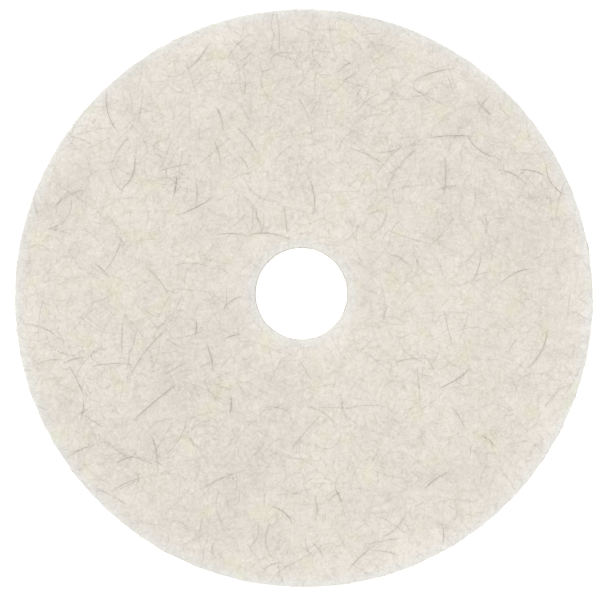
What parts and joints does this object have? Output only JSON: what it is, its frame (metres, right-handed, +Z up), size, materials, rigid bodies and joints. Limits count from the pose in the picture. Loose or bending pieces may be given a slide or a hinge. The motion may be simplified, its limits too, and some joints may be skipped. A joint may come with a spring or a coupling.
{
  "type": "floor polishing pad",
  "caption": "Round nonwoven polishing pad with a die-cut centre hole and dark and tan hair blended through white fibre, for a rotary floor machine.",
  "frame": {"origin": "centre of the pad's round outline, on the plane of its bottom working face", "axes": "+Z up through the pad, from the bottom working face to the top one; X and Y across the pad, +Y away from a viewer in front"},
  "size_m": [0.5106, 0.5106, 0.0261],
  "materials": {
    "face_web": "matte off-white felt of fine crimped fibre, cloudy, with a resin-stiffened skin",
    "core_web": "matte off-white lofty web, paler and more open than the faces",
    "dark_hair": "smooth grey-brown natural hair with a faint sheen",
    "tan_hair": "smooth straw-coloured natural hair with a faint sheen",
    "white_fibre": "coarse crimped off-white synthetic fibre, slightly translucent"
  },
  "bodies": {
    "root": {"bottom_face_ply": "face_web", "core_ply": "core_web", "top_face_ply": "face_web", "top_face_dark_hairs": "dark_hair", "top_face_tan_hairs": "tan_hair", "top_face_white_fibres": "white_fibre", "rim_dark_hairs": "dark_hair", "rim_tan_hairs": "tan_hair", "rim_white_fibres": "white_fibre"}
  },
  "joints": []
}
